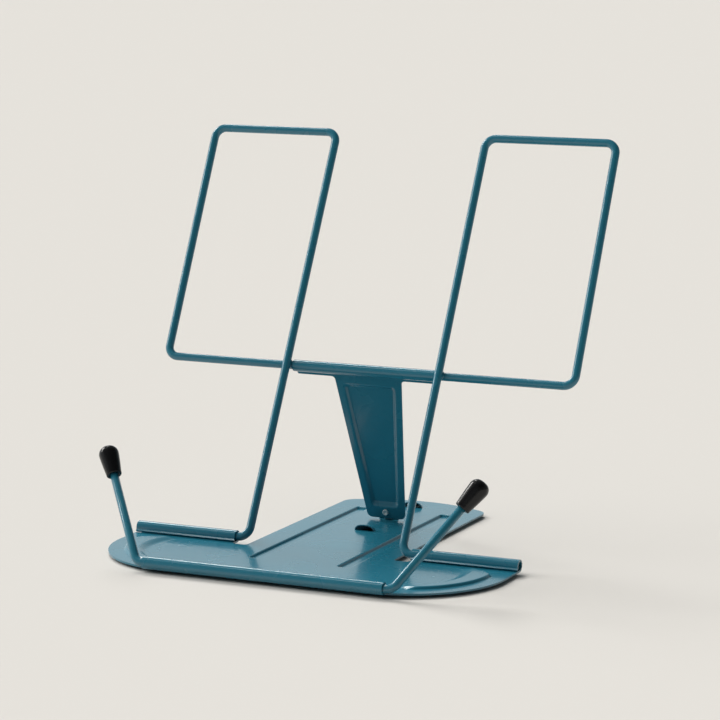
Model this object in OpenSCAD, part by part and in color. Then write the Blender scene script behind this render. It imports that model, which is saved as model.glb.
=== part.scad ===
// Folding bookstand: a stamped steel base with three rolled hems, a bent wire
// back frame that turns in the two rear hems, a pressed support leg that turns
// on the frame's crossbar and stops in one of three louvres, and a wire page
// holder that turns in the front hem. All sizes are in millimetres.
// X runs along the hems, +Y is the back, +Z is up. The origin is on the table,
// in the middle of the space that the stand takes up. The pieces are drawn from
// a point under the rear hems' axis, and then moved there together.

/* [Wire] */
// Diameter of the wire of the back frame and of the page holder
wire_d = 4.4; // [3.6:0.1:5]
// Radius of the wire's bends, on its centre line
bend_r = 6; // [5:0.5:9]
// Running clearance all round the wire in a rolled hem
wire_play = 0.08; // [0.05:0.01:0.1]

/* [Base plate] */
// Thickness of the base's sheet
sheet_t = 1; // [0.8:0.1:1.2]
// Width over the two rounded ends
base_w = 218; // [200:2:250]
// Distance from the front hem's axis to the rear hems' axis
base_depth = 72; // [66:1:85]
// Radius of the rounded ends
end_r = 52; // [44:1:56]
// Straight length of each end in front of its rear hem
end_straight = 20; // [16:1:26]
// Length of the front hem
front_hem_l = 133; // [120:1:150]
// Slit between a hem's free edge and the plate
seam_gap = 0.25; // [0.15:0.05:0.4]
// Depth of the notches beside the tongue, in front of the rear hems' axis
notch_depth = 6.4; // [5:0.2:9]
// Radius of the notches' corners
notch_r = 2; // [1:0.5:3]

/* [Tongue] */
// Width of the tongue that runs back under the support leg
tongue_w = 84; // [76:1:85]
// Reach of the tongue behind the rear hems' axis
tongue_reach = 131; // [130:1:145]
// Radius of the tongue's bowed rear edge
tongue_bow_r = 76; // [65:1:110]
// Radius of the tongue's corners
tongue_corner_r = 8; // [5:0.5:12]

/* [Pressings] */
// Distance of each long groove from the middle
groove_x = 25; // [20:1:29]
// Width of a groove at the top
groove_w = 7; // [5:0.5:8]
// Depth of a groove
groove_depth = 0.9; // [0.5:0.1:1]
// Start of the grooves, in front of the rear hems' axis
groove_front = 31; // [10:1:45]
// End of the grooves, behind the rear hems' axis
groove_back = 104; // [80:1:108]
// Width of a pressing's sloping wall
wall_run = 0.9; // [0.5:0.1:1.2]
// Distance of an end bead from the plate's edge
bead_edge = 8; // [6:0.5:10]
// Width of an end bead near the front hem
bead_front_w = 4.5; // [3:0.5:6]
// Width of an end bead near the rear hem
bead_back_w = 12; // [8:0.5:13]
// Height of an end bead
bead_h = 1.2; // [0.8:0.1:1.6]

/* [Louvres] */
// Number of louvres, one for each slope of the frame
louvre_count = 3; // [2:1:3]
// The louvre that holds the leg, counted from the front; the leg is as long as it needs
louvre_used = 2; // [1:1:3]
// Distance of the first louvre's mouth behind the rear hems' axis
louvre_first = 50; // [46:1:54]
// Distance from one louvre's mouth to the next
louvre_pitch = 32; // [28:1:33]
// Inner width of a louvre's mouth
louvre_w = 9.4; // [8:0.2:11]
// Inner height of a louvre's mouth
louvre_h = 2.4; // [2.3:0.1:3.2]
// Length of a louvre's hood, to the point where its cone is cut
louvre_l = 14.5; // [10:0.5:15]
// Radius of that cone where it is cut
louvre_cut_r = 0.5; // [0.3:0.1:1]

/* [Back frame] */
// Lean of the back frame, from upright, with the leg in its louvre
frame_lean = 28.5; // [26:0.5:32]
// Length of the frame, from the hinge axis to the top wires
frame_l = 232; // [210:1:260]
// Distance from the hinge axis to the crossbar, along the frame
crossbar_at = 98; // [90:1:105]
// Distance between the two inner legs, on their centre lines
leg_gap = 88; // [87:1:90]
// Straight wire between a rear hem's inner end and the frame's bend
leg_straight = 0.5; // [0.5:0.5:6]
// Width over the two loops, on the wire's centre lines
loops_w = 236; // [220:2:260]
// Depth to which the crossbar is welded into the inner legs
weld_sink = 0.3; // [0.2:0.05:0.5]
// Distance from a wire's end to the rear hem's outer end
wire_end_inset = 8; // [5:0.5:15]

/* [Support leg] */
// Thickness of the leg's sheet
leg_t = 0.8; // [0.6:0.1:1]
// Gap between the leg's edge and the base plate
leg_lift = 1; // [0.8:0.1:2]
// Distance of the leg's edge in front of its louvre's mouth
leg_setback = 2.6; // [2.4:0.1:4]
// Side gap between the leg's roll and the frame's inner legs
roll_side_gap = 0.5; // [0.3:0.1:1]
// Height of the flange, from the crossbar's axis down
flange_h = 6; // [5:0.5:8]
// Chamfer at the flange's lower corners
flange_chamfer = 0.8; // [0.4:0.1:3]
// Width of the leg at the flange
leg_top_w = 39; // [34:1:46]
// Width of the leg at its edge
leg_end_w = 22; // [18:1:26]
// Radius of the fillets between flange and leg
leg_fillet = 2; // [1:0.5:5]
// Radius of the corners at the leg's edge
leg_corner_r = 3; // [2:0.5:4]
// Depth of the leg's pressed panel
panel_depth = 1.8; // [1:0.1:2]
// Rim of flat sheet beside and above the pressed panel
panel_rim = 3.6; // [3:0.2:6]
// Gap between the pressed panel and the catch's strip below it
panel_gap = 0.3; // [0.1:0.1:6]
// Radius of the panel's corners at the bottom of the pressing
panel_corner_r = 1.2; // [0.8:0.1:2]
// Width of the panel's walls at its sides and top
panel_wall = 1.2; // [0.8:0.1:1.6]
// Width of its wall at the bottom
panel_sill = 2.4; // [0.8:0.2:3]

/* [Catch] */
// Thickness of the catch's steel strip
catch_t = 0.8; // [0.6:0.1:0.8]
// Width of the catch
catch_w = 4; // [3:0.5:4.5]
// How far the catch reaches into the louvre's mouth
catch_in = 0.4; // [0.3:0.1:0.5]
// Gap between the catch's tip and the plate's top
catch_play = 0.1; // [0.05:0.05:0.2]
// Bend radius inside the catch
catch_bend_r = 0.8; // [0.5:0.1:1]
// Diameter of the rivet's shank
rivet_d = 2; // [1.6:0.1:2.2]
// Diameter of the rivet's head
rivet_head_d = 3.4; // [3.2:0.1:3.8]
// Height of the rivet's head
rivet_head_h = 1.1; // [0.8:0.1:1.4]
// Height of the rivet above the leg's edge
rivet_at = 3.8; // [3.2:0.1:4.6]
// Diameter of its tail where it meets the catch
rivet_tail_d = 2.9; // [2.6:0.1:3.2]
// Height of its tail, which narrows by as much all round
rivet_tail_h = 0.4; // [0.3:0.1:0.6]
// Length of the catch's strip above the rivet's head
strip_end = 0.4; // [0.2:0.1:1]
// Clearance all round the rivet's shank
rivet_play = 0.05; // [0.03:0.01:0.1]

/* [Page holder] */
// Lean of the two page arms, from upright
arm_lean = 33; // [30:1:40]
// Outward splay of the page arms, seen along the hem's radius
arm_splay = 30; // [20:1:32]
// Length of an arm's wire, from its bend's corner to its end
arm_l = 64; // [56:1:72]
// Straight wire between the front hem's end and an arm's bend
arm_straight = 1; // [0.5:0.5:3]
// Length of a tip cap
cap_l = 17; // [15:0.5:20]
// Diameter of a tip cap at its mouth
cap_mouth_d = 8; // [7:0.1:9]
// Diameter of a tip cap at its round end
cap_end_d = 10.4; // [9:0.1:11]
// Depth to which the wire is pushed into a cap
cap_depth = 12; // [10:0.5:13]

/* [Feet] */
// Diameter of a rubber foot
foot_d = 8; // [6:0.5:9]
// Height of a rubber foot
foot_h = 1.5; // [1.3:0.1:2.5]
// Amount by which a foot is narrower at the table
foot_taper = 0.6; // [0:0.1:1]
// Distance of the front feet from the plate's sides
front_foot_inset = 31; // [27:1:39]
// Distance of the front feet in front of the rear hems' axis
front_foot_y = 24; // [20:1:30]
// Distance of the back feet from the middle
back_foot_x = 32; // [28:1:33]
// Distance from the back feet to the tongue's rearmost edge
back_foot_inset = 16; // [14:1:18]

/* [Hidden] */
$fn = 48;
arc_steps = 18;
over = 1;              // how far a cutting shape runs past what it cuts
skin = 0.01;           // thickness of the end slices that a hull spans
cone_sides = 96;       // sides of the wide cones that cut the beads
corner_sides = 24;     // sides of the panel's small corners
lap = 0.05;            // how far a straight piece runs into its bend
bend_thin = 0.01;      // a bend's surface lies this far inside the straight piece's
paint = "#286d86";
steel = "#b9bdc0";
vinyl = "#1d1c1e";
rubber = "#232323";

wire_r = wire_d / 2;
bore_r = wire_r + wire_play;
plate_top = foot_h + sheet_t;
hem_z = plate_top + bore_r;             // height of all three hems' axes
hem_wrap = 360 - acos((bore_r + seam_gap) / (bore_r + sheet_t));
side_x = base_w / 2;
front_foot_x = side_x - front_foot_inset;
middle_y = (tongue_reach - base_depth - bore_r - sheet_t) / 2;
hem_in = leg_gap / 2 + bend_r + leg_straight;    // inner end of a rear hem
tongue_x = tongue_w / 2;
end_centre = [side_x - end_r, -end_straight];

// Tongue: its corners are tangent to its sides and to its bowed rear edge
bow_centre = [0, tongue_reach - tongue_bow_r];
corner_x = tongue_x - tongue_corner_r;
corner_rise = sqrt(pow(tongue_bow_r - tongue_corner_r, 2) - pow(corner_x, 2));
corner_centre = [corner_x, bow_centre.y + corner_rise];
corner_turn = atan2(corner_rise, corner_x);

// End beads: two arcs that part towards the back, closed by a third one
bead_from = -78;       // direction of a bead's front end, seen from the end's centre
bead_to = 10;          // direction of its back end
bead_half = (bead_to - bead_from) / 2;
bead_mid = (bead_to + bead_from) / 2;
bead_out_r = end_r - bead_edge;
bead_in_r = bead_out_r - (bead_front_w + bead_back_w) / 2;
bead_shift = (bead_back_w - bead_front_w) / 2 / sin(bead_half);
bead_mean_r = (bead_out_r + bead_in_r) / 2;
bead_cut_r = bead_mean_r * sin(bead_half);
bead_cut_at = bead_mean_r * cos(bead_half);

// Louvres: each hood is a slice of a cone that lies along Y, below the sheet
louvre_r = (pow(louvre_w / 2, 2) + pow(louvre_h, 2)) / (2 * louvre_h);
louvre_axis = louvre_h - louvre_r;      // height of the cone's axis above the sheet
catch_y = louvre_first + (louvre_used - 1) * louvre_pitch;

// Frame and leg, from the hinge axis to the leg's edge
crossbar_off = wire_d - weld_sink;
crossbar_y = crossbar_at * sin(frame_lean) + crossbar_off * cos(frame_lean);
crossbar_z = hem_z + crossbar_at * cos(frame_lean) - crossbar_off * sin(frame_lean);
leg_mid = bore_r + leg_t / 2;           // the leg's sheet lies this far behind its axis
edge_dy = catch_y - leg_setback - crossbar_y;
edge_dz = crossbar_z - plate_top - leg_lift;
edge_dist = sqrt(edge_dy * edge_dy + edge_dz * edge_dz);
leg_l = sqrt(edge_dist * edge_dist - leg_mid * leg_mid);
leg_lean = atan2(edge_dy, edge_dz) - asin(leg_mid / edge_dist);
leg_wrap = 360 - acos((bore_r + seam_gap) / (bore_r + leg_t));
leg_back = bore_r + leg_t;
roll_l = leg_gap - wire_d - 2 * roll_side_gap;
rivet_z = -leg_l + rivet_at;
leg_taper = atan2((leg_top_w - leg_end_w) / 2, leg_l - flange_h);
catch_top = rivet_at + rivet_head_d / 2 + strip_end;
panel_top = flange_h + panel_rim;
panel_bottom = leg_l - catch_top - leg_t / 2 - panel_gap;

// Catch: runs down the leg's back, bends and ends level inside the louvre's mouth
catch_mid_r = catch_bend_r + catch_t / 2;
catch_turn = 90 - leg_lean;
catch_mid_z = plate_top + catch_play + catch_t / 2;

// Page holder: direction of the right-hand arm from its bend's corner
arm_dir = [
  sin(arm_splay),
  cos(arm_splay) * sin(arm_lean),
  cos(arm_splay) * cos(arm_lean),
];
arm_corner_x = front_hem_l / 2 + arm_straight + bend_r * tan((90 - arm_splay) / 2);
arm_corner = [arm_corner_x, -base_depth, hem_z];

function unit(v) = v / norm(v);
function turn_at(p, i) = acos(unit(p[i] - p[i - 1]) * unit(p[i + 1] - p[i]));
function tangent_at(p, i) =
  i == 0 || i == len(p) - 1 ? 0 : bend_r * tan(turn_at(p, i) / 2);
function arc(centre, r, from, to) = [
  for (i = [0:arc_steps]) centre + r * [cos(from + (to - from) * i / arc_steps),
                                        sin(from + (to - from) * i / arc_steps)]
];
function mirrored(points) = [for (i = [len(points) - 1:-1:0]) [-points[i].x, points[i].y]];

// Moves its children from under the rear hems' axis to the model's origin
module placed() {
  translate([0, -middle_y, 0]) children();
}

// Places its children with their X, Y and Z along three square unit vectors
module in_frame(x, y, z, at) {
  multmatrix([
    [x.x, y.x, z.x, at.x],
    [x.y, y.y, z.y, at.y],
    [x.z, y.z, z.z, at.z],
    [0, 0, 0, 1],
  ]) children();
}

// A straight piece of wire
module rod(from, to) {
  z = unit(to - from);
  side = abs(z.x) < 0.9 ? [1, 0, 0] : [0, 1, 0];
  x = unit(cross(side, z));
  in_frame(x, cross(z, x), z, from) cylinder(r = wire_r, h = norm(to - from));
}

// The bend of the wire at point i of its route
module bend(p, i) {
  before = unit(p[i] - p[i - 1]);
  after = unit(p[i + 1] - p[i]);
  inward = unit(after - (before * after) * before);
  centre = p[i] - tangent_at(p, i) * before + bend_r * inward;
  in_frame(-inward, before, cross(-inward, before), centre)
    rotate_extrude(angle = turn_at(p, i)) translate([bend_r, 0])
      circle(r = wire_r - bend_thin);
}

// A wire along a route of corner points, each corner bent to the same radius
module wire(p) {
  for (i = [0:len(p) - 2]) {
    step = unit(p[i + 1] - p[i]);
    from = max(0, tangent_at(p, i) - lap);
    to = max(0, tangent_at(p, i + 1) - lap);
    rod(p[i] + from * step, p[i + 1] - to * step);
  }
  for (i = [1:len(p) - 2]) bend(p, i);
}

// A sheet's edge rolled round a wire that lies along X. It starts at the bottom,
// goes round by the back and ends short of where it started.
module curl(l, t, wrap) {
  rotate([0, 90, 0]) rotate_extrude(angle = wrap)
    translate([bore_r, -l / 2]) square([t, l]);
}

/* ---- base plate ---- */

module plate_outline() {
  end_start = -acos((front_hem_l / 2 - end_centre.x) / end_r);
  right = concat(
    [[front_hem_l / 2, -base_depth]],
    arc(end_centre, end_r, end_start, 0),
    [[side_x, 0], [hem_in, 0]],
    arc([hem_in - notch_r, notch_r - notch_depth], notch_r, 0, -90),
    arc([tongue_x + notch_r, notch_r - notch_depth], notch_r, -90, -180),
    arc(corner_centre, tongue_corner_r, 0, corner_turn),
    [for (a = [1:arc_steps]) bow_centre + tongue_bow_r *
      [cos(corner_turn + (90 - corner_turn) * a / arc_steps),
       sin(corner_turn + (90 - corner_turn) * a / arc_steps)]]
  );
  left = mirrored([for (i = [0:len(right) - 2]) right[i]]);
  polygon(concat(right, left));
}

// Solid form of a groove, wide at z = 0, grown on all sides by grow
module groove_form(grow) {
  wide = groove_w / 2 + grow;
  narrow = wide - wall_run;
  front = -groove_front - grow;
  back = groove_back + grow;
  intersection() {
    translate([0, back, 0]) rotate([90, 0, 0]) linear_extrude(back - front)
      polygon([[-wide, 0], [-narrow, -groove_depth], [narrow, -groove_depth], [wide, 0]]);
    translate([-wide, 0, 0]) rotate([90, 0, 90]) linear_extrude(2 * wide)
      polygon([[front, 0], [front + wall_run, -groove_depth],
               [back - wall_run, -groove_depth], [back, 0]]);
  }
}

module cone_disc(at, r_low, r_high, h) {
  translate([at.x, at.y, 0]) cylinder(r1 = r_low, r2 = r_high, h = h, $fn = cone_sides);
}

// Solid form of the right-hand end bead, standing on z = 0, grown by grow
module bead_form(grow) {
  cut_centre = end_centre + bead_cut_at * [cos(bead_mid), sin(bead_mid)];
  shift_dir = bead_mid - 90;
  in_centre = end_centre + bead_shift * [cos(shift_dir), sin(shift_dir)];
  out = bead_out_r + grow;
  cut = bead_cut_r + grow;
  inner = bead_in_r - grow;
  slope = wall_run / bead_h;
  difference() {
    intersection() {
      cone_disc(end_centre, out, out - wall_run, bead_h);
      cone_disc(cut_centre, cut, cut - wall_run, bead_h);
    }
    translate([0, 0, -over])
      cone_disc(in_centre, inner - slope * over, inner + wall_run + slope * over, bead_h + 2 * over);
  }
}

// Cone of a louvre's hood, from its mouth back
module hood_cone(grow) {
  rotate([-90, 0, 0])
    cylinder(r1 = louvre_r + grow, r2 = louvre_cut_r + grow, h = louvre_l);
}

module base_plate() {
  back_hem_l = side_x - hem_in;
  lower_face = wall_run * sheet_t / groove_depth / 2;
  color(paint) placed() difference() {
    union() {
      translate([0, 0, foot_h]) linear_extrude(sheet_t) plate_outline();
      for (side = [-1, 1]) {
        translate([side * (hem_in + side_x) / 2, 0, hem_z]) curl(back_hem_l, sheet_t, hem_wrap);
        translate([side * groove_x, 0, foot_h]) groove_form(lower_face);
      }
      translate([0, -base_depth, hem_z]) mirror([0, 1, 0]) curl(front_hem_l, sheet_t, hem_wrap);
      for (side = [0, 1])
        mirror([side, 0, 0]) translate([0, 0, plate_top]) bead_form(0);
      for (i = [0:louvre_count - 1]) intersection() {
        translate([0, louvre_first + i * louvre_pitch, plate_top + louvre_axis])
          hood_cone(sheet_t);
        translate([-louvre_w, louvre_first + i * louvre_pitch, foot_h])
          cube([2 * louvre_w, louvre_l, louvre_w]);
      }
    }
    for (side = [-1, 1])
      translate([side * groove_x, 0, plate_top]) groove_form(0);
    for (side = [0, 1])
      mirror([side, 0, 0]) translate([0, 0, foot_h]) bead_form(-sheet_t / 2);
    for (i = [0:louvre_count - 1])
      translate([0, louvre_first + i * louvre_pitch, plate_top + louvre_axis]) hood_cone(0);
  }
}

/* ---- back frame ---- */

module back_frame() {
  leg_x = leg_gap / 2;
  loop_x = loops_w / 2;
  end_x = side_x - wire_end_inset;
  // Route of the right half, from the wire's end to the middle of the crossbar,
  // with Z up the frame and Y behind it
  right = [
    [end_x, 0, 0], [leg_x, 0, 0], [leg_x, 0, frame_l], [loop_x, 0, frame_l],
    [loop_x, crossbar_off, crossbar_at],
  ];
  left = [for (i = [len(right) - 1:-1:0]) [-right[i].x, right[i].y, right[i].z]];
  color(paint) placed() translate([0, 0, hem_z]) rotate([-frame_lean, 0, 0])
    wire(concat(right, left));
}

/* ---- support leg, catch and rivet ---- */

// Stands its children at the crossbar: Z up the leg, Y behind it
module at_leg() {
  placed() translate([0, crossbar_y, crossbar_z]) rotate([leg_lean, 0, 0]) children();
}

// Half width of the leg's sheet at distance s below the crossbar's axis
function leg_half(s) = leg_top_w / 2 - (s - flange_h) * tan(leg_taper);

// Outline of the leg's flat sheet: X across, Y down the leg. The fillets and the
// corners are tangent to its tapering sides.
module leg_outline() {
  pull = tan((90 - leg_taper) / 2);
  fillet_centre = [leg_top_w / 2 + leg_fillet * pull, flange_h + leg_fillet];
  corner_centre = [leg_half(leg_l) - leg_corner_r * pull, leg_l - leg_corner_r];
  right = concat(
    [[roll_l / 2, 0], [roll_l / 2, flange_h - flange_chamfer],
     [roll_l / 2 - flange_chamfer, flange_h]],
    arc(fillet_centre, leg_fillet, -90, leg_taper - 180),
    arc(corner_centre, leg_corner_r, leg_taper, 90)
  );
  polygon(concat(right, mirrored(right)));
}

// Slice of the pressed panel's form at depth y, drawn in by inset at its sides and
// top and by rise at the bottom, with corners of radius r
module panel_slice(inset, rise, r, y) {
  top = panel_top + inset + r;
  low = panel_bottom - rise - r;
  for (side = [-1, 1]) for (s = [top, low])
    translate([side * (leg_half(s) - panel_rim - inset - r), y, -s])
      rotate([-90, 0, 0]) cylinder(r = r, h = skin, $fn = corner_sides);
}

// The pressed panel, sloping in over its depth from the face at y, grown by grow
module panel_form(y, grow) {
  hull() {
    panel_slice(-grow, -grow, panel_corner_r + grow, y);
    panel_slice(panel_wall - grow, panel_sill - grow, panel_corner_r + grow, y + panel_depth);
  }
}

module support_leg() {
  color(paint) at_leg() difference() {
    union() {
      translate([0, leg_back, 0]) rotate([90, 0, 0])
        linear_extrude(leg_t) mirror([0, 1, 0]) leg_outline();
      rotate([90, 0, 0]) curl(roll_l, leg_t, leg_wrap);
      panel_form(leg_back - skin, leg_t / 2);
    }
    panel_form(bore_r - skin, 0);
    translate([0, bore_r - over, rivet_z]) rotate([-90, 0, 0])
      cylinder(d = rivet_d + 2 * rivet_play, h = leg_t + 2 * over);
  }
}

module catch_hook() {
  // Where the strip's middle meets its bend, down the leg
  mid_y = leg_back + catch_t / 2;
  drop = crossbar_z - catch_mid_z + mid_y * sin(leg_lean);
  bend_s = (drop - catch_mid_r * (1 - cos(catch_turn))) / cos(leg_lean);
  bend_y = crossbar_y + bend_s * sin(leg_lean) + mid_y * cos(leg_lean);
  tip_l = catch_y + catch_in - bend_y - catch_mid_r * sin(catch_turn);
  strip_l = bend_s - (leg_l - catch_top);
  color(steel) at_leg() difference() {
    translate([-catch_w / 2, mid_y, -bend_s]) union() {
      translate([0, -catch_t / 2, -lap]) cube([catch_w, catch_t, strip_l + lap]);
      translate([0, catch_mid_r, 0]) {
        rotate([90, 0, 90]) rotate([0, 0, 180]) rotate_extrude(angle = catch_turn)
          translate([catch_bend_r + bend_thin, 0]) square([catch_t - 2 * bend_thin, catch_w]);
        rotate([catch_turn, 0, 0]) translate([0, -catch_mid_r - catch_t / 2, -tip_l])
          cube([catch_w, catch_t, tip_l + lap]);
      }
    }
    translate([0, leg_back - over, rivet_z]) rotate([-90, 0, 0])
      cylinder(d = rivet_d + 2 * rivet_play, h = catch_t + 2 * over);
  }
}

// A round head of diameter d and height h that stands on z = 0
module round_head(d, h) {
  r = (pow(d / 2, 2) + h * h) / (2 * h);
  intersection() {
    translate([0, 0, h - r]) sphere(r = r);
    cylinder(d = d, h = h);
  }
}

module rivet() {
  stack = leg_t + catch_t;
  color(steel) at_leg() translate([0, bore_r, rivet_z]) {
    rotate([90, 0, 0]) round_head(rivet_head_d, rivet_head_h);
    rotate([-90, 0, 0]) cylinder(d = rivet_d, h = stack);
    translate([0, stack, 0]) rotate([-90, 0, 0])
      cylinder(d1 = rivet_tail_d, d2 = rivet_tail_d - 2 * rivet_tail_h, h = rivet_tail_h);
  }
}

/* ---- page holder ---- */

module page_holder() {
  right = [arm_corner + arm_l * arm_dir, arm_corner];
  left = [for (i = [len(right) - 1:-1:0]) [-right[i].x, right[i].y, right[i].z]];
  color(paint) placed() wire(concat(right, left));
}

// A vinyl cap, its open mouth on z = 0 and its wire along Z
module tip_cap() {
  end_r = cap_end_d / 2;
  waist = cap_l - end_r;
  color(vinyl) difference() {
    union() {
      cylinder(d1 = cap_mouth_d, d2 = cap_end_d, h = waist);
      translate([0, 0, waist]) intersection() {
        sphere(r = end_r);
        translate([-end_r, -end_r, 0]) cube([2 * end_r, 2 * end_r, end_r]);
      }
    }
    translate([0, 0, -over]) cylinder(r = wire_r, h = cap_depth + over);
  }
}

module on_right_arm() {
  z = arm_dir;
  x = unit(cross([0, 0, 1], z));
  placed() in_frame(x, cross(z, x), z, arm_corner + (arm_l - cap_depth) * z) children();
}

module tip_right() {
  on_right_arm() tip_cap();
}

module tip_left() {
  mirror([1, 0, 0]) tip_right();
}

/* ---- feet ---- */

// A rubber foot on the table, a little narrower at the bottom
module foot(x, y) {
  color(rubber) placed() translate([x, y, 0]) cylinder(d1 = foot_d - foot_taper, d2 = foot_d, h = foot_h);
}

base_plate();
back_frame();
support_leg();
catch_hook();
rivet();
page_holder();
tip_left();
tip_right();
foot(-front_foot_x, -front_foot_y);  // foot_front_left
foot(front_foot_x, -front_foot_y);  // foot_front_right
foot(-back_foot_x, tongue_reach - back_foot_inset);  // foot_back_left
foot(back_foot_x, tongue_reach - back_foot_inset);  // foot_back_right
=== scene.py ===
import math

import bmesh
import bpy
from mathutils import Matrix, Vector, geometry


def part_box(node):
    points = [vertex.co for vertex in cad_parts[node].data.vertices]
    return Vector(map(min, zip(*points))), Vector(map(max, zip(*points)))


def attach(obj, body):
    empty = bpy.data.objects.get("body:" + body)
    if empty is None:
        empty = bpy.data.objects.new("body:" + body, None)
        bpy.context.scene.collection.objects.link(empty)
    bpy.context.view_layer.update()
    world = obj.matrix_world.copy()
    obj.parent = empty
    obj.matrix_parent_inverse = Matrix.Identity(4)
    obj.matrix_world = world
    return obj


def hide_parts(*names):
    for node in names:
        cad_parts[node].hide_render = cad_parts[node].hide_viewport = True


# A folding bookstand of painted steel: a pressed base plate with rolled hems, two bent
# wires, a pressed support leg and small trim. Sizes are in millimetres and degrees, and
# the meshes in metres, in the frame of the loaded parts.

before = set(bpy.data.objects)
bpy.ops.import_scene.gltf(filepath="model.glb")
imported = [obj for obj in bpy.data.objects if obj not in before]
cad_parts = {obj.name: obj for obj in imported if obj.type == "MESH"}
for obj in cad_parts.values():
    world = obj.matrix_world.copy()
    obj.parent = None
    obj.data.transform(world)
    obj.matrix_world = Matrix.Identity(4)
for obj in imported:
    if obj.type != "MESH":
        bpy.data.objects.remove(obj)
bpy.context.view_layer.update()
mm = 0.001

camera = {
    "place": (0.6351, -1.3644, 0.3470),  # metres
    "yaw": 24.695,
    "pitch": 9.393,
    "lens": 146.28,
    "sensor": 36.0,
    "farthest": 60,  # metres
}


def addCamera():
    data = bpy.data.cameras.new("camera")
    data.lens = camera["lens"]
    data.sensor_width = camera["sensor"]
    data.clip_end = camera["farthest"]
    made = bpy.data.objects.new("camera", data)
    made.location = camera["place"]
    made.rotation_euler = (math.radians(90 - camera["pitch"]), 0, math.radians(camera["yaw"]))
    bpy.context.scene.collection.objects.link(made)
    bpy.context.scene.camera = made


addCamera()
print("camera placed")


# Shader nodes: sums of sockets read as plain Python

class Socket:
    def __init__(self, finish, link):
        self.finish = finish
        self.link = link

    def maths(self, operation, first, second):
        return self.finish.node("ShaderNodeMath", {"operation": operation}, {0: first, 1: second})

    def __add__(self, other):
        return self.maths("ADD", self, other)

    def __radd__(self, other):
        return self.maths("ADD", other, self)

    def __sub__(self, other):
        return self.maths("SUBTRACT", self, other)

    def __rsub__(self, other):
        return self.maths("SUBTRACT", other, self)

    def __mul__(self, other):
        return self.maths("MULTIPLY", self, other)

    def __rmul__(self, other):
        return self.maths("MULTIPLY", other, self)


class Finish:
    def __init__(self, owner):
        owner.use_nodes = True
        self.tree = owner.node_tree
        self.tree.nodes.clear()

    # One node: its settings come first, then its sockets get values or links
    def node(self, kind, settings, inputs, output=0):
        made = self.tree.nodes.new(kind)
        for key, value in settings.items():
            if key == "stops":
                self.setStops(made.color_ramp, value)
            else:
                setattr(made, key, value)
        for key, value in inputs.items():
            if isinstance(value, Socket):
                self.tree.links.new(value.link, made.inputs[key])
            else:
                made.inputs[key].default_value = value
        return Socket(self, made.outputs[output]) if made.outputs else None

    def setStops(self, ramp, stops):
        for element, (position, level) in zip(ramp.elements, stops):
            element.position = position
            element.color = (level, level, level, 1)

    def place(self):
        return self.node("ShaderNodeTexCoord", {}, {}, "Object")

    # Noise whose lumps are about size millimetres across
    def noise(self, place, size, detail=2.0):
        return self.node("ShaderNodeTexNoise", {}, {
            "Vector": place, "Scale": 1 / (size * mm), "Detail": detail})

    def mixed(self, share, first, second):
        return self.node("ShaderNodeMix", {"data_type": "RGBA"}, {0: share, 6: first, 7: second}, 2)

    # 1 up to the value start, then falling smoothly to share at the value end
    def faded(self, value, start, end, share):
        return self.node("ShaderNodeMapRange", {"interpolation_type": "SMOOTHSTEP"}, {
            "Value": value, "From Min": start, "From Max": end, "To Min": 1.0, "To Max": share})

    def bump(self, height):
        return self.node("ShaderNodeBump", {}, {"Height": height, "Distance": 1.0, "Strength": 1.0})


def shaded(colour, shade):
    return (colour[0] * shade, colour[1] * shade, colour[2] * shade, 1)


# Finishes

paintLook = {
    "colour": (0.0148, 0.1620, 0.2400),
    "deep": 0.90, "pale": 1.10, "driftSize": 34,
    "dust": (0.20, 0.30, 0.33), "dustSize": 0.55, "dustFrom": 0.68, "dustFull": 0.80, "dustShare": 0.16,
    "roughness": 0.27, "roughnessDrift": 0.10,
    "coat": 0.45, "coatRoughness": 0.10,
    "peelSize": 1.3, "peelHeight": 0.004,
    "waveSize": 38,
}
waveHeights = {"paint_plate": 0.09, "paint_leg": 0.05, "paint_wire": 0.0}
vinylLook = {
    "colour": (0.0045, 0.0045, 0.005), "chalk": (0.010, 0.010, 0.011), "chalkSize": 4.5,
    "roughness": 0.17, "roughnessDrift": 0.14, "gloss": 0.34,
    "grainSize": 0.45, "grainHeight": 0.006,
}
steelLook = {
    "colour": (0.92, 0.92, 0.90), "tarnish": (0.66, 0.66, 0.64), "stainSize": 1.4,
    "roughness": 0.28, "roughnessDrift": 0.16, "grainSize": 0.2, "grainHeight": 0.002,
    "metallic": 0.55,  # a dull plated skin
}
rubberLook = {
    "colour": (0.016, 0.016, 0.016), "chalk": (0.035, 0.034, 0.032), "chalkSize": 2.5,
    "roughness": 0.66, "roughnessDrift": 0.2, "gloss": 0.4, "grainSize": 0.35, "grainHeight": 0.012,
}


def closeFinish(finish, sockets):
    surface = finish.node("ShaderNodeBsdfPrincipled", {}, sockets)
    finish.node("ShaderNodeOutputMaterial", {}, {"Surface": surface})


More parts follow.
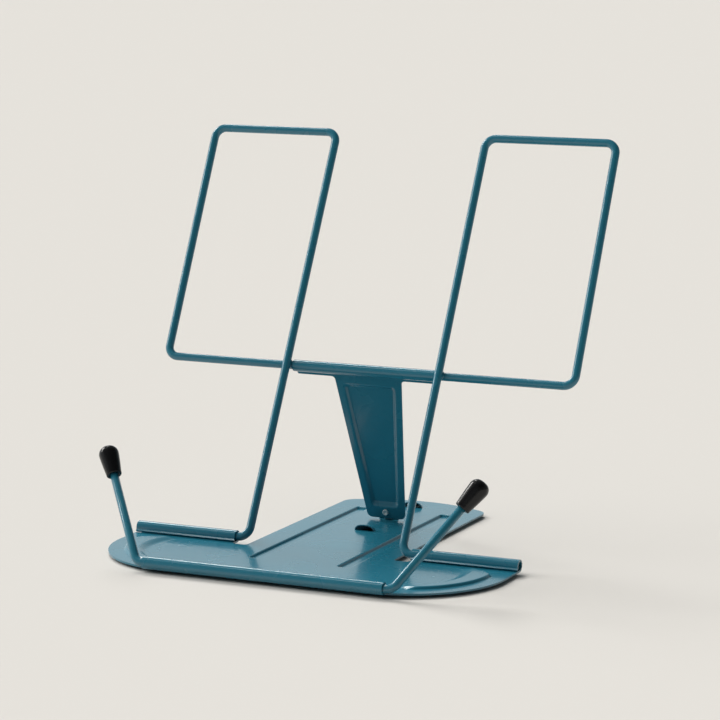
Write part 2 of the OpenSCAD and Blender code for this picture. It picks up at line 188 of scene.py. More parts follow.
def paint(name):
    look = paintLook
    made = bpy.data.materials.new(name)
    finish = Finish(made)
    place = finish.place()
    drift = finish.noise(place, look["driftSize"], 3.0)
    specks = finish.noise(place, look["dustSize"], 1.0)
    dust = finish.node("ShaderNodeValToRGB", {
        "stops": ((look["dustFrom"], 0), (look["dustFull"], look["dustShare"]))}, {"Fac": specks})
    body = finish.mixed(drift, shaded(look["colour"], look["deep"]), shaded(look["colour"], look["pale"]))
    peel = finish.noise(place, look["peelSize"], 1.0)
    waves = finish.noise(place, look["waveSize"], 1.0)
    relief = peel * (look["peelHeight"] * mm) + waves * (waveHeights[name] * mm)
    closeFinish(finish, {
        "Base Color": finish.mixed(dust, body, shaded(look["dust"], 1)),
        "Roughness": drift * look["roughnessDrift"] + (look["roughness"] - look["roughnessDrift"] / 2),
        "Coat Weight": look["coat"],
        "Coat Roughness": look["coatRoughness"],
        "Normal": finish.bump(relief),
    })
    return made


def moulded(name, look):
    made = bpy.data.materials.new(name)
    finish = Finish(made)
    place = finish.place()
    chalk = finish.noise(place, look["chalkSize"], 4.0)
    grain = finish.noise(place, look["grainSize"], 2.0)
    closeFinish(finish, {
        "Base Color": finish.mixed(chalk * chalk, shaded(look["colour"], 1), shaded(look["chalk"], 1)),
        "Roughness": chalk * look["roughnessDrift"] + look["roughness"],
        "Specular IOR Level": look["gloss"],
        "Normal": finish.bump(grain * (look["grainHeight"] * mm)),
    })
    return made


def steel(name):
    look = steelLook
    made = bpy.data.materials.new(name)
    finish = Finish(made)
    place = finish.place()
    stain = finish.noise(place, look["stainSize"], 4.0)
    grain = finish.noise(place, look["grainSize"], 2.0)
    closeFinish(finish, {
        "Base Color": finish.mixed(stain * stain, shaded(look["colour"], 1), shaded(look["tarnish"], 1)),
        "Metallic": look["metallic"],
        "Roughness": stain * look["roughnessDrift"] + look["roughness"],
        "Normal": finish.bump(grain * (look["grainHeight"] * mm)),
    })
    return made


finishes = {slot: paint(slot) for slot in waveHeights}
finishes["catch_steel"] = steel("catch_steel")
finishes["rivet_steel"] = steel("rivet_steel")
finishes["vinyl"] = moulded("vinyl", vinylLook)
finishes["foot_rubber"] = moulded("foot_rubber", rubberLook)
print("finishes made:", len(finishes))


# Plane geometry

def onArc(centre, radius, angle):
    turn = math.radians(angle)
    return Vector((centre[0] + radius * math.cos(turn), centre[1] + radius * math.sin(turn)))


def arcPoints(centre, radius, start, end, steps):
    return [onArc(centre, radius, start + (end - start) * i / steps) for i in range(steps + 1)]


# The shorter arc round centre from one point to another
def arcBetween(centre, start, end, steps):
    spoke = Vector(start) - Vector(centre)
    turn = -spoke.angle_signed(Vector(end) - Vector(centre))
    return [Vector(centre) + Matrix.Rotation(turn * i / steps, 2) @ spoke for i in range(steps + 1)]


# The two points where circles meet, the left one first, looking from the first centre
def circlesMeet(centre, radius, otherCentre, otherRadius):
    line = Vector(otherCentre) - Vector(centre)
    along = (radius ** 2 - otherRadius ** 2 + line.length ** 2) / (2 * line.length)
    aside = math.sqrt(radius ** 2 - along ** 2)
    direction = line.normalized()
    across = Vector((-direction.y, direction.x))
    foot = Vector(centre) + direction * along
    return foot + across * aside, foot - across * aside


# A convex outline whose corners are rounded
def roundedLoop(corners, radius, steps=5):
    made = []
    for i, corner in enumerate(corners):
        here = Vector(corner)
        back = (Vector(corners[i - 1]) - here).normalized()
        ahead = (Vector(corners[(i + 1) % len(corners)]) - here).normalized()
        half = back.angle(ahead) / 2
        centre = here + (back + ahead).normalized() * radius / math.sin(half)
        reach = radius / math.tan(half)
        made += arcBetween(centre, here + back * reach, here + ahead * reach, steps)
    return made


def mirrored(points):
    return [Vector((-p[0], *p[1:])) for p in reversed(points)]


def smoothStep(share):
    share = min(max(share, 0.0), 1.0)
    return share * share * (3 - 2 * share)


# Meshes

tinyGap = 1e-6  # corners of a flat sheet nearer than this are one corner
mergeGap = 0.0005  # points of a finished mesh nearer than this are merged
axisGap = 0.05  # radius at which a turned shape closes with a small flat
sharpAngles = {"sheet": 75, "rivet": 60, "kept": 50}  # edges sharper than this are broken


class Sheet:
    def __init__(self):
        self.points = []
        self.faces = []

    def add(self, points, faces):
        first = len(self.points)
        self.points += [Vector(p) for p in points]
        self.faces += [[first + i for i in face] for face in faces]

    # Rows of points, joined by quads; a closed row comes back to its start
    def addRows(self, rows, closed=False):
        count = len(rows[0])
        faces = []
        for r in range(len(rows) - 1):
            for i in range(count if closed else count - 1):
                j = (i + 1) % count
                faces.append([r * count + i, r * count + j, (r + 1) * count + j, (r + 1) * count + i])
        self.add([p for row in rows for p in row], faces)

    # Flat sheet inside an outline, open at the holes
    def addFlat(self, outline, holes):
        corners, edges = [], []
        for loop in [outline] + holes:
            first = len(corners)
            corners += [Vector(p[:2]) for p in loop]
            edges += [(first + i, first + (i + 1) % len(loop)) for i in range(len(loop))]
        points, _, faces, *_ = geometry.delaunay_2d_cdt(corners, edges, [], 0, tinyGap)
        kept = [f for f in faces if self.isInside(sum((points[i] for i in f), Vector((0, 0))) / len(f),
                                                 corners, edges)]
        self.add([(p.x, p.y, 0) for p in points], kept)

    def isInside(self, place, corners, edges):
        crossings = 0
        for a, b in edges:
            start, end = corners[a], corners[b]
            if (start.y > place.y) != (end.y > place.y):
                share = (place.y - start.y) / (end.y - start.y)
                crossings += place.x < start.x + (end.x - start.x) * share
        return crossings % 2 == 1

    # A pressed form: loopAt(share) is its outline, from 0 at the foot to 1 at the top, and a
    # flat margin lies round the foot
    def addPressing(self, loopAt, height, marginShare=0.35, steps=7):
        margin = loopAt(-marginShare)
        rows = [[(*p, 0) for p in margin]]
        for k in range(steps + 1):
            rows.append([(*p, height * smoothStep(k / steps)) for p in loopAt(k / steps)])
        self.addRows(rows, closed=True)
        self.add(rows[-1], [range(len(rows[-1]))])
        return margin

    # An edge rolled round a wire along X: outward in y, and then up or down. The profile
    # holds its points after the first, from the wire's axis, with outward and up positive
    def addCurl(self, start, end, edge, outward, rise, radius, profile):
        rows = []
        for p in [Vector((0, -radius))] + profile:
            y, z = edge + outward * p.x, rise * (radius + p.y)
            rows.append([(start, y, z), (end, y, z)])
        self.addRows(rows)

    # A shape turned round the Z axis, from points (radius, height)
    def addTurned(self, profile, sides):
        rows = []
        for radius, height in profile:
            rows.append([(*onArc((0, 0), radius, 360 * i / sides), height) for i in range(sides)])
        self.addRows(rows, closed=True)
        for row in (rows[0], rows[-1]):
            self.add(row, [range(sides)])

    # A round bar along a route of corner points, each corner bent to the same radius
    def addBar(self, corners, radius, sides=28, steps=12):
        centres = barRoute(corners, wire["bend"], steps)
        tangents = [(centres[min(i + 1, len(centres) - 1)] - centres[max(i - 1, 0)]).normalized()
                    for i in range(len(centres))]
        side = tangents[0].orthogonal().normalized()
        rows = []
        for i, (centre, tangent) in enumerate(zip(centres, tangents)):
            if i:
                side = (tangents[i - 1].rotation_difference(tangent) @ side).normalized()
            up = tangent.cross(side)
            rows.append([centre + radius * (side * math.cos(a) + up * math.sin(a))
                         for a in (2 * math.pi * j / sides for j in range(sides))])
        ends = [(rows[0], -tangents[0], centres[0]), (rows[-1], tangents[-1], centres[-1])]
        self.addRows(rows, closed=True)
        for row, outward, centre in ends:
            rounding = outward * radius * wire["endRound"]
            lip = [centre + (p - centre) * wire["endShare"] + rounding for p in row]
            self.addRows([row, lip], closed=True)
            self.add(lip, [range(sides)])


# Centre line of a bar: straight between corners, an arc of several points at each
def barRoute(corners, bendRadius, steps):
    made = [Vector(corners[0])]
    for i in range(1, len(corners) - 1):
        here = Vector(corners[i])
        back = (Vector(corners[i - 1]) - here).normalized()
        ahead = (Vector(corners[i + 1]) - here).normalized()
        half = back.angle(ahead) / 2
        reach = bendRadius / math.tan(half)
        centre = here + (back + ahead).normalized() * bendRadius / math.sin(half)
        spoke = here + back * reach - centre
        axis = spoke.cross(here + ahead * reach - centre).normalized()
        turn = math.pi - 2 * half
        for k in range(steps + 1):
            made.append(centre + Matrix.Rotation(turn * k / steps, 3, axis) @ spoke)
    made.append(Vector(corners[-1]))
    return made


def addPiece(name, sheet, space, body, slot, replaced=()):
    mesh = bpy.data.meshes.new(name)
    mesh.from_pydata([(space @ p) * mm for p in sheet.points], [], sheet.faces)
    work = bmesh.new()
    work.from_mesh(mesh)
    bmesh.ops.remove_doubles(work, verts=work.verts, dist=mergeGap * mm)
    bmesh.ops.recalc_face_normals(work, faces=work.faces)
    work.to_mesh(mesh)
    work.free()
    mesh.polygons.foreach_set("use_smooth", [True] * len(mesh.polygons))
    mesh.materials.append(finishes[slot])
    piece = bpy.data.objects.new(name, mesh)
    bpy.context.scene.collection.objects.link(piece)
    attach(piece, body)
    if replaced:
        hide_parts(*replaced)
    return piece


# Gives a piece of sheet its thickness, and breaks its edges
def thicken(piece, thickness, edge):
    solid = piece.modifiers.new("thickness", "SOLIDIFY")
    solid.thickness = thickness * mm
    solid.offset = 0
    breakEdges(piece, edge, sharpAngles["sheet"])


def breakEdges(piece, edge, angle):
    bevel = piece.modifiers.new("edges", "BEVEL")
    bevel.width = edge * mm
    bevel.segments = 2
    bevel.limit_method = "ANGLE"
    bevel.angle_limit = math.radians(angle)
    normals = piece.modifiers.new("normals", "WEIGHTED_NORMAL")
    normals.weight = 80


def axesMatrix(x, y, z, origin):
    made = Matrix((x, y, z)).transposed().to_4x4()
    made.translation = origin
    return made


# Base plate

wire = {"diameter": 4.4, "bend": 6.0, "play": 0.08, "endShare": 0.86, "endRound": 0.12}
wireRadius = wire["diameter"] / 2
hemBore = wireRadius + wire["play"]

plate = {
    "thickness": 1.0, "edge": 0.16, "width": 218, "depth": 72,
    "endRadius": 52, "endStraight": 20,
    "frontHem": 133, "hemGap": 101, "seam": 0.12, "lipBend": 0.75, "lipFlare": 0.9, "lipAngle": 48,
    "notchDepth": 6.4, "notchRadius": 2,
    "tongueWidth": 84, "tongueReach": 131, "bowRadius": 76, "cornerRadius": 8,
}
groove = {
    "x": 25, "width": 8, "depth": 1.15, "front": 31, "back": 104, "wall": 1.2,
    "corner": 2.0, "cornerFade": 0.9,
}
bead = {
    "edge": 8, "frontWidth": 4.5, "backWidth": 17, "height": 1.4, "from": -78, "to": 10,
    "outerWall": 1.8, "frontSlope": 2.2, "backSlope": 6.5, "endWall": 3.4, "endShift": 2.4,
}
louvre = {
    "count": 3, "used": 2, "first": 50, "pitch": 32, "width": 9.4, "height": 2.4, "length": 14.5, "tip": 0.5,
    "drawn": 0.5,  # share of the sheet's thickness that is left in a hood
    "drawnFrom": 0.6,  # height above the sheet at which that begins
    "squareness": 2.5,  # 2 makes a mouth half an ellipse, and more a flatter one
}

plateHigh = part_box("base_plate")[1]  # its upper back corner
hemAxisZ = plateHigh.z / mm - hemBore - plate["thickness"]
hemAxisY = plateHigh.y / mm - plate["tongueReach"]
plateMid = hemAxisZ - hemBore - plate["thickness"] / 2  # height of the sheet's middle
plateSpace = Matrix.Translation((0, hemAxisY, plateMid))


def plateOutline():
    halfWidth = plate["width"] / 2
    hemIn = plate["hemGap"] / 2
    halfTongue = plate["tongueWidth"] / 2
    notch = plate["notchRadius"]
    endCentre = (halfWidth - plate["endRadius"], -plate["endStraight"])
    endStart = -math.degrees(math.acos((plate["frontHem"] / 2 - endCentre[0]) / plate["endRadius"]))
    bowCentre = (0, plate["tongueReach"] - plate["bowRadius"])
    cornerX = halfTongue - plate["cornerRadius"]
    cornerRise = math.sqrt((plate["bowRadius"] - plate["cornerRadius"]) ** 2 - cornerX ** 2)
    cornerCentre = (cornerX, bowCentre[1] + cornerRise)
    cornerTurn = math.degrees(math.atan2(cornerRise, cornerX))
    notchY = notch - plate["notchDepth"]
    right = [Vector((plate["frontHem"] / 2, -plate["depth"]))]
    right += arcPoints(endCentre, plate["endRadius"], endStart, 0, 40)
    right += [Vector((halfWidth, 0)), Vector((hemIn, 0))]
    right += arcPoints((hemIn - notch, notchY), notch, 0, -90, 6)
    right += arcPoints((halfTongue + notch, notchY), notch, -90, -180, 6)
    right += arcPoints(cornerCentre, plate["cornerRadius"], 0, cornerTurn, 10)
    right += arcPoints(bowCentre, plate["bowRadius"], cornerTurn, 90, 20)[1:]
    return right + mirrored(right[:-1])


def grooveLoop(side, share):
    inset = groove["wall"] * share
    halfWidth = groove["width"] / 2 - inset
    x = side * groove["x"]
    front, back = inset - groove["front"], groove["back"] - inset
    corners = [(x - halfWidth, front), (x + halfWidth, front), (x + halfWidth, back), (x - halfWidth, back)]
    return roundedLoop(corners, groove["corner"] - groove["cornerFade"] * inset)


# Crescent between two arcs that part towards the back, closed at both ends by a third
def beadLoop(side, share):
    endCentre = Vector((plate["width"] / 2 - plate["endRadius"], -plate["endStraight"]))
    half = math.radians((bead["to"] - bead["from"]) / 2)
    middle = (bead["to"] + bead["from"]) / 2
    mean = plate["endRadius"] - bead["edge"] - (bead["frontWidth"] + bead["backWidth"]) / 4
    cutCentre = onArc(endCentre, mean * math.cos(half), middle)
    cutCentre = onArc(cutCentre, bead["endShift"] * share, middle + 90)
    cut = mean * math.sin(half) - bead["endWall"] * share
    frontWidth = bead["frontWidth"] - (bead["outerWall"] + bead["frontSlope"]) * share
    backWidth = bead["backWidth"] - (bead["outerWall"] + bead["backSlope"]) * share
    outer = plate["endRadius"] - bead["edge"] - bead["outerWall"] * share
    inner = outer - (frontWidth + backWidth) / 2
    innerCentre = onArc(endCentre, (backWidth - frontWidth) / 2 / math.sin(half), middle - 90)
    outerBack, outerFront = circlesMeet(endCentre, outer, cutCentre, cut)
    innerBack, innerFront = circlesMeet(innerCentre, inner, cutCentre, cut)
    loop = arcBetween(endCentre, outerFront, outerBack, 36)
    loop += arcBetween(cutCentre, outerBack, innerBack, 8)[1:]
    loop += arcBetween(innerCentre, innerBack, innerFront, 36)[1:]
    loop += arcBetween(cutCentre, innerFront, outerFront, 6)[1:-1]
    return loop if side > 0 else mirrored(loop)


# From one foot of an arch to the other: 1 high and 1 to each side, with full shoulders
def archPoints(steps):
    power = 2 / louvre["squareness"]
    made = []
    for p in arcPoints((0, 0), 1, 180, 0, steps):
        made.append((math.copysign(abs(p.x) ** power, p.x), max(p.y, 0) ** power))
    return made


# A lanced louvre: a hood that falls and narrows to its tail, open at its front
def addLouvre(sheet, mouthY, steps=12, columns=18):
    half = louvre["width"] / 2
    mouthRadius = (half ** 2 + louvre["height"] ** 2) / (2 * louvre["height"])
    sunk = mouthRadius - louvre["height"] - plate["thickness"] / 2
    radius = mouthRadius + plate["thickness"] / 2
    slope = (mouthRadius - louvre["tip"]) / louvre["length"]
    tail = (radius - sunk) / slope
    rows = []
    for k in range(steps):
        run = tail * (1 - (1 - k / steps) ** 2)
        here = radius - slope * run
        wide, high = math.sqrt(here ** 2 - sunk ** 2), here - sunk
        rows.append([(wide * x, mouthY + run, high * z) for x, z in archPoints(columns)])
    sheet.addRows(rows)
    end = (0, mouthY + tail, 0)
    sheet.add(rows[-1] + [end], [[j, j + 1, columns + 1] for j in range(columns)])
    return [row[0] for row in rows] + [end] + [row[-1] for row in reversed(rows)]


# The sheet is drawn thinner where the louvres' hoods are raised
def thinHoods(piece):
    full = piece.vertex_groups.new(name="full_sheet")
    for point in piece.data.vertices:
        place = plateSpace.inverted() @ (point.co / mm)
        inHood = abs(place.x) < louvre["width"] and louvre["drawnFrom"] < place.z and 0 < place.y
        full.add([point.index], 0.0 if inHood else 1.0, "REPLACE")
    solid = piece.modifiers["thickness"]
    solid.vertex_group = full.name
    solid.thickness_vertex_group = louvre["drawn"]


# Three quarters of a circle, straight down, and a small flared lip that ends on the plate
def hemProfile(radius):
    bend, angle = plate["lipBend"], math.radians(plate["lipAngle"])
    slope = Vector((-math.sin(angle), -math.cos(angle))) * plate["lipFlare"]
    low = plate["thickness"] + plate["seam"] - radius
    made = arcPoints((0, 0), radius, -90, 180, 36)[1:]
    bendCentre = (-radius - bend, low + bend * math.sin(angle) - slope.y)
    made += arcPoints(bendCentre, bend, 0, -plate["lipAngle"], 4)
    return made + [made[-1] + slope]


def buildPlate():
    sheet = Sheet()
    holes = []
    for side in (-1, 1):
        holes.append(sheet.addPressing(lambda share: grooveLoop(side, share), -groove["depth"]))
        holes.append(sheet.addPressing(lambda share: beadLoop(side, share), bead["height"]))
    for i in range(louvre["count"]):
        holes.append(addLouvre(sheet, louvre["first"] + i * louvre["pitch"]))
    sheet.addFlat(plateOutline(), holes)
    radius = hemBore + plate["thickness"] / 2
    profile = hemProfile(radius)
    halfWidth, hemIn, halfFront = plate["width"] / 2, plate["hemGap"] / 2, plate["frontHem"] / 2
    sheet.addCurl(hemIn, halfWidth, 0, 1, 1, radius, profile)
    sheet.addCurl(-halfWidth, -hemIn, 0, 1, 1, radius, profile)
    sheet.addCurl(-halfFront, halfFront, -plate["depth"], -1, 1, radius, profile)
    piece = addPiece("pressed_plate", sheet, plateSpace, "base", "paint_plate", ["base_plate"])
    thicken(piece, plate["thickness"], plate["edge"])
    thinHoods(piece)


buildPlate()
print("base plate pressed")


# Back frame

back = {
    "lean": 28.5, "length": 232, "crossbarAt": 98, "legGap": 88, "loopsWidth": 236,
    "weldSink": 0.3, "endInset": 8,
}
crossbarBehind = wire["diameter"] - back["weldSink"]
frameLean = Matrix.Rotation(-math.radians(back["lean"]), 4, "X")
frameSpace = Matrix.Translation((0, hemAxisY, hemAxisZ)) @ frameLean


def buildFrame():
    legX = back["legGap"] / 2
    loopX = back["loopsWidth"] / 2
    endX = plate["width"] / 2 - back["endInset"]
    right = [
        (endX, 0, 0), (legX, 0, 0), (legX, 0, back["length"]), (loopX, 0, back["length"]),
        (loopX, crossbarBehind, back["crossbarAt"]),
    ]
    sheet = Sheet()
    sheet.addBar(right + mirrored(right), wireRadius)
    addPiece("bent_frame", sheet, frameSpace, "frame", "paint_wire", ["back_frame"])


# Paint-filled weld where the crossbar passes behind an inner leg
weld = {"reach": 2.7, "waist": 1.15, "rings": 10, "flat": 0.02}


def buildWelds():
    for side, word in ((-1, "left"), (1, "right")):
        sheet = Sheet()
        profile = []
        for k in range(weld["rings"] + 1):
            rise = 2 * k / weld["rings"] - 1
            spread = math.sqrt(max(1 - rise ** 2, weld["flat"]))
            profile.append((weld["reach"] * spread, weld["waist"] * rise))
        sheet.addTurned(profile, sides=24)
        contact = Vector((side * back["legGap"] / 2, wireRadius - back["weldSink"] / 2, back["crossbarAt"]))
        space = frameSpace @ Matrix.Translation(contact) @ Matrix.Rotation(math.radians(90), 4, "X")
        addPiece("weld_" + word, sheet, space, "frame", "paint_wire")


buildFrame()
buildWelds()
print("back frame bent")


# Support leg, catch and rivet

leg = {
    "thickness": 0.8, "edge": 0.14, "lift": 1.0, "setback": 2.6, "sideGap": 0.5,
    "flange": 6, "chamfer": 0.8, "topWidth": 39, "endWidth": 22, "fillet": 2, "corner": 3,
    "panelDepth": 1.8, "rim": 3.4, "panelEnd": 6.4, "panelWall": 2.6, "panelSill": 3.2,
    "panelCorner": 2.9, "cornerFade": 0.7, "seam": 0.25,
}
rivet = {
    "shank": 2.0, "head": 3.4, "height": 1.1, "play": 0.05, "up": 3.8, "hollow": 1.4, "tail": 0.4,
    "edge": 0.05,
}

rollLength = back["legGap"] - wire["diameter"] - 2 * leg["sideGap"]
legBehind = hemBore + leg["thickness"] / 2  # the leg's sheet lies this far behind the crossbar's axis
crossbarPoint = frameSpace @ Vector((0, crossbarBehind, back["crossbarAt"]))
plateTop = plateMid + plate["thickness"] / 2
catchY = hemAxisY + louvre["first"] + (louvre["used"] - 1) * louvre["pitch"]
edgeRun = Vector((catchY - leg["setback"] - crossbarPoint.y, crossbarPoint.z - plateTop - leg["lift"]))
legLength = math.sqrt(edgeRun.length_squared - legBehind ** 2)
legLean = math.atan2(edgeRun.x, edgeRun.y) - math.asin(legBehind / edgeRun.length)
legSpace = Matrix.Translation(crossbarPoint) @ Matrix.Rotation(legLean, 4, "X")
# Sheet space of the leg: X across, Y down the leg, Z to its back
legSheetSpace = legSpace @ axesMatrix((1, 0, 0), (0, 0, -1), (0, 1, 0), (0, legBehind, 0))
legTaper = math.atan2((leg["topWidth"] - leg["endWidth"]) / 2, legLength - leg["flange"])


def legHalf(down):
    return leg["topWidth"] / 2 - math.tan(legTaper) * (down - leg["flange"])


def legOutline():
    taper = math.degrees(legTaper)
    pull = math.tan(math.radians((90 - taper) / 2))
    halfRoll = rollLength / 2
    filletCentre = (leg["topWidth"] / 2 + leg["fillet"] * pull, leg["flange"] + leg["fillet"])
    cornerCentre = (legHalf(legLength) - leg["corner"] * pull, legLength - leg["corner"])
    right = [Vector((halfRoll, 0)), Vector((halfRoll, leg["flange"] - leg["chamfer"]))]
    right += [Vector((halfRoll - leg["chamfer"], leg["flange"]))]
    right += arcPoints(filletCentre, leg["fillet"], -90, taper - 180, 8)
    right += arcPoints(cornerCentre, leg["corner"], taper, 90, 8)
    return right + mirrored(right)


def panelLoop(share):
    inset = leg["panelWall"] * share
    top = leg["flange"] + leg["rim"] + inset
    low = legLength - leg["panelEnd"] - leg["panelSill"] * share
    aside = leg["rim"] + inset / math.cos(legTaper)
    topHalf, lowHalf = legHalf(top) - aside, legHalf(low) - aside
    corners = [(-topHalf, top), (topHalf, top), (lowHalf, low), (-lowHalf, low)]
    return roundedLoop(corners, leg["panelCorner"] - leg["cornerFade"] * inset)


def buildLeg():
    sheet = Sheet()
    panel = sheet.addPressing(panelLoop, leg["panelDepth"])
    rivetHole = arcPoints((0, legLength - rivet["up"]), rivet["shank"] / 2 + rivet["play"], 0, 345, 23)
    sheet.addFlat(legOutline(), [panel, rivetHole])
    wrap = 360 - math.degrees(math.acos((hemBore + leg["seam"]) / (hemBore + leg["thickness"])))
    roll = arcPoints((0, 0), legBehind, -90, wrap - 90, 44)[1:]
    sheet.addCurl(-rollLength / 2, rollLength / 2, 0, -1, -1, legBehind, roll)
    piece = addPiece("pressed_leg", sheet, legSheetSpace, "leg", "paint_leg", ["support_leg"])
    thicken(piece, leg["thickness"], leg["edge"])


# Tubular rivet: its rim is rolled over at the front of the leg. The profile runs from the
# hollow over the rim, and down the shank to the tail
def buildRivet():
    hollow, rim = rivet["hollow"] / 2, rivet["head"] / 2
    middle = (hollow + rim) / 2
    stack = 2 * leg["thickness"]
    profile = [(axisGap, 0.25), (hollow * 0.6, 0.22), (hollow * 0.92, 0.45), (hollow * 1.08, 0.8)]
    profile += [(middle + 0.1, rivet["height"] * 0.95), (middle + 0.45, rivet["height"] * 0.86)]
    profile += [(rim * 0.95, rivet["height"] * 0.5), (rim, 0.18), (rim * 0.98, 0.0)]
    profile += [(rivet["shank"] / 2, 0.0), (rivet["shank"] / 2, -stack), (rim * 0.86, -stack)]
    profile += [(rim * 0.8, -stack - rivet["tail"] * 0.7), (rim * 0.6, -stack - rivet["tail"])]
    profile += [(axisGap, -stack - rivet["tail"])]
    sheet = Sheet()
    sheet.addTurned(profile, sides=32)
    front = Vector((0, hemBore, -(legLength - rivet["up"])))
    space = legSpace @ Matrix.Translation(front) @ Matrix.Rotation(math.radians(90), 4, "X")
    piece = addPiece("tubular_rivet", sheet, space, "leg", "rivet_steel", ["rivet"])
    breakEdges(piece, rivet["edge"], sharpAngles["rivet"])


buildLeg()
buildRivet()
print("support leg pressed")


# Page holder and its tips

holder = {"lean": 33, "splay": 30, "length": 64, "straight": 1}
cap = {
    "length": 17, "mouth": 8.0, "end": 10.4, "depth": 12, "wall": 0.06, "lip": 0.5, "collar": 1.2,
    "swell": 0.10, "bodyRings": 8, "domeShare": 0.84, "domeRings": 12,
    "roundness": 0.74,  # 1 makes the end a true dome, and less a blunter one
}


def armDirection():
    lean, splay = math.radians(holder["lean"]), math.radians(holder["splay"])
    return Vector((math.sin(splay), math.cos(splay) * math.sin(lean), math.cos(splay) * math.cos(lean)))


armCorner = Vector((
    plate["frontHem"] / 2 + holder["straight"]
    + wire["bend"] * math.tan(math.radians(90 - holder["splay"]) / 2),
    hemAxisY - plate["depth"],
    hemAxisZ,
))


def buildHolder():
    right = [armCorner + holder["length"] * armDirection(), armCorner]
    sheet = Sheet()
    sheet.addBar(right + mirrored(right), wireRadius)
    addPiece("bent_page_holder", sheet, Matrix.Identity(4), "page_arms", "paint_wire", ["page_holder"])


# Dip-moulded cap: bore, thin rolled lip, swelling body, blunt round end
def capProfile():
    mouth, end, length = cap["mouth"] / 2, cap["end"] / 2, cap["length"]
    bore = wireRadius + cap["wall"]
    collar, shoulder = cap["collar"], length - end * cap["domeShare"]
    profile = [(axisGap, cap["depth"]), (bore * 0.9, cap["depth"]), (bore, cap["depth"] - 0.3), (bore, 0.5)]
    profile += [(bore + 0.25, 0.12), (bore + 0.6, 0.0), (mouth - cap["lip"], 0.0)]
    profile += [(mouth - 0.12, 0.16), (mouth, 0.55), (mouth + 0.02, collar)]
    for k in range(1, cap["bodyRings"] + 1):
        share = k / cap["bodyRings"]
        swell = cap["swell"] * math.sin(math.pi * share)
        profile.append((mouth + (end - mouth) * share + swell, collar + (shoulder - collar) * share))
    for k in range(1, cap["domeRings"] + 1):
        turn = math.pi / 2 * k / cap["domeRings"]
        radius = max(end * math.cos(turn) ** cap["roundness"], axisGap)
        profile.append((radius, shoulder + (length - shoulder) * math.sin(turn)))
    return profile


def buildCaps():
    z = armDirection()
    x = Vector((0, 0, 1)).cross(z).normalized()
    start = armCorner + (holder["length"] - cap["depth"]) * z
    space = axesMatrix(x, z.cross(x), z, start)
    across = Matrix.Diagonal((-1, 1, 1, 1))
    for word, place in (("right", space), ("left", across @ space)):
        sheet = Sheet()
        sheet.addTurned(capProfile(), sides=48)
        addPiece("vinyl_cap_" + word, sheet, place, "page_arms", "vinyl", ["tip_" + word])


buildHolder()
buildCaps()
print("page holder bent")


# Parts kept from the frame: the catch and the four rubber feet

kept = {
    "catch_hook": {"slot": "catch_steel", "edge": 0.12},
    "foot_": {"slot": "foot_rubber", "edge": 0.3},
}


def dressKept():
    for name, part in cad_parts.items():
        for start, look in kept.items():
            if name.startswith(start):
                part.data.materials.clear()
                part.data.materials.append(finishes[look["slot"]])
                breakEdges(part, look["edge"], sharpAngles["kept"])


dressKept()
print("catch and feet dressed")


# Floor, lamps and surroundings

studio = {
    "floor": (0.62, 0.61, 0.59), "floorSize": 30.0, "floorGloss": 0.0,
    "sky": (0.91, 0.98, 1.0), "skyLight": 0.14, "skySeen": 0.95,
    "lampColour": (1.0, 0.97, 0.93),
    # The mirrored room is brightest near the horizon, to the left and behind the stand
    "mirrored": 0.72,
    "upperFade": (0.22, 0.62), "upperShare": 0.22,
    "rightFade": (-0.15, 0.55), "rightShare": 0.30,
    "frontFade": (-0.1, 0.5), "frontShare": 0.58,
}
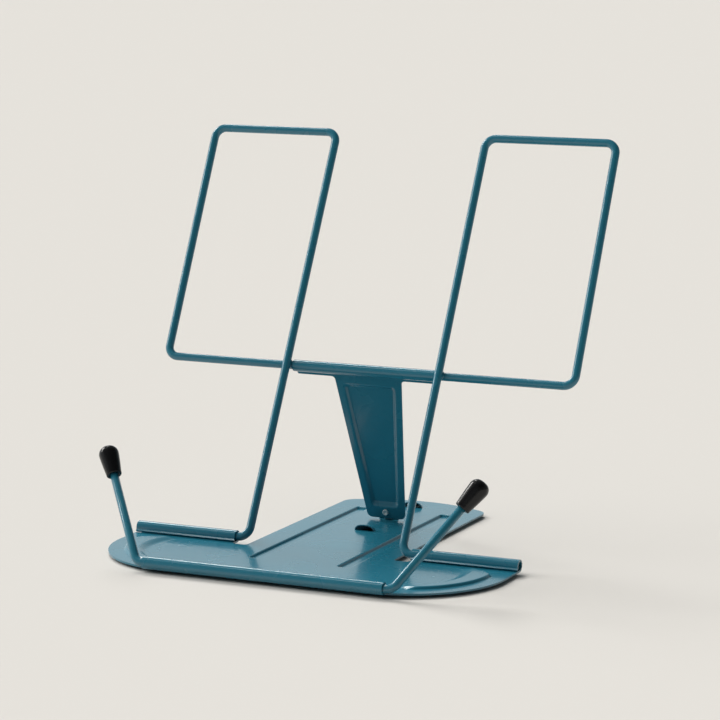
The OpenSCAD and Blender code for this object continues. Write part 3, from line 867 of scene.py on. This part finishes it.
# The first two are only soft light, and the others are seen as highlights
suns = {
    "key": {"from": (-0.46, 0.55, 0.70), "strength": 1.9, "angle": 25, "mirrored": False},
    "window": {"from": (-0.60, -0.26, 0.76), "strength": 1.8, "angle": 60, "mirrored": False},
    "rim": {"from": (-0.46, 0.57, 0.68), "strength": 0.36, "angle": 11, "mirrored": True},
    "side": {"from": (-0.82, 0.26, 0.51), "strength": 0.85, "angle": 16, "mirrored": True},
    "spot": {"from": (-0.41, -0.14, 0.88), "strength": 0.06, "angle": 6, "mirrored": True},
    "edge": {"from": (-0.90, -0.13, 0.41), "strength": 0.42, "angle": 13, "mirrored": True},
}


def addFloor():
    half = studio["floorSize"] / 2
    corners = [(-half, -half, 0), (half, -half, 0), (half, half, 0), (-half, half, 0)]
    mesh = bpy.data.meshes.new("floor")
    mesh.from_pydata(corners, [], [(0, 1, 2, 3)])
    look = bpy.data.materials.new("floor")
    closeFinish(Finish(look), {
        "Base Color": shaded(studio["floor"], 1), "Specular IOR Level": studio["floorGloss"]})
    mesh.materials.append(look)
    floor = bpy.data.objects.new("floor", mesh)
    bpy.context.scene.collection.objects.link(floor)


def addSuns():
    for name, sun in suns.items():
        data = bpy.data.lights.new(name, "SUN")
        data.energy = sun["strength"]
        data.angle = math.radians(sun["angle"])
        data.color = studio["lampColour"]
        made = bpy.data.objects.new(name, data)
        made.rotation_euler = Vector(sun["from"]).to_track_quat("Z", "Y").to_euler()
        made.visible_glossy = sun["mirrored"]
        bpy.context.scene.collection.objects.link(made)


def addSky():
    world = bpy.data.worlds.new("studio")
    bpy.context.scene.world = world
    finish = Finish(world)
    towards = finish.node("ShaderNodeTexCoord", {}, {}, "Generated")
    right, behind, up = [
        finish.node("ShaderNodeSeparateXYZ", {}, {"Vector": towards}, axis) for axis in "XYZ"]
    seen, clear, glossy = [
        finish.node("ShaderNodeLightPath", {}, {}, f"Is {ray} Ray")
        for ray in ("Camera", "Transmission", "Glossy")]
    room = finish.faded(up, *studio["upperFade"], studio["upperShare"]) * studio["mirrored"]
    room = room * finish.faded(right, *studio["rightFade"], studio["rightShare"])
    room = room * finish.faded(0 - behind, *studio["frontFade"], studio["frontShare"])
    strength = (seen + clear) * (studio["skySeen"] - studio["skyLight"])
    strength = strength + glossy * (room - studio["skyLight"]) + studio["skyLight"]
    sky = finish.node("ShaderNodeBackground", {}, {
        "Color": shaded(studio["sky"], 1), "Strength": strength})
    finish.node("ShaderNodeOutputWorld", {}, {"Surface": sky})


addFloor()
addSuns()
addSky()
bpy.context.scene.view_settings.view_transform = "Standard"
print("studio lit")
